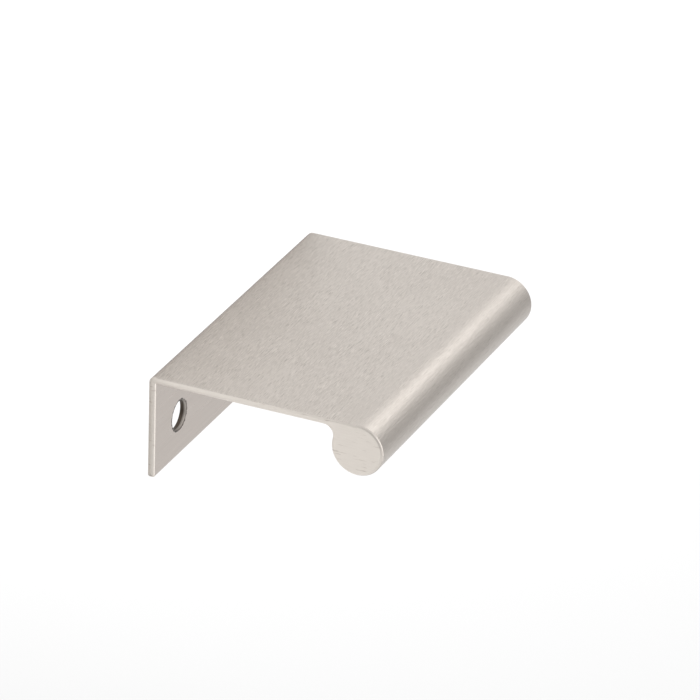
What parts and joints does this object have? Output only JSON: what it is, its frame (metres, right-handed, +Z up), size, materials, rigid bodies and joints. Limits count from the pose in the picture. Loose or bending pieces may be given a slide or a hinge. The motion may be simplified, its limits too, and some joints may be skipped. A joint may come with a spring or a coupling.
{
  "type": "tab pull",
  "caption": "Edge pull for a drawer or door: a thin plate with a round grip bead along its front and a screw flange turned down at its back.",
  "frame": {"origin": "middle of the two screw holes, on the back face of the flange", "axes": "+X along the pull, +Y out of the flange's back face so the bead faces -Y, +Z up"},
  "size_m": [0.05, 0.034, 0.015],
  "materials": {
    "brushed_metal": "fine brushed along the length, warm satin nickel colour"
  },
  "bodies": {
    "root": {"tab_pull": "brushed_metal"}
  },
  "joints": []
}
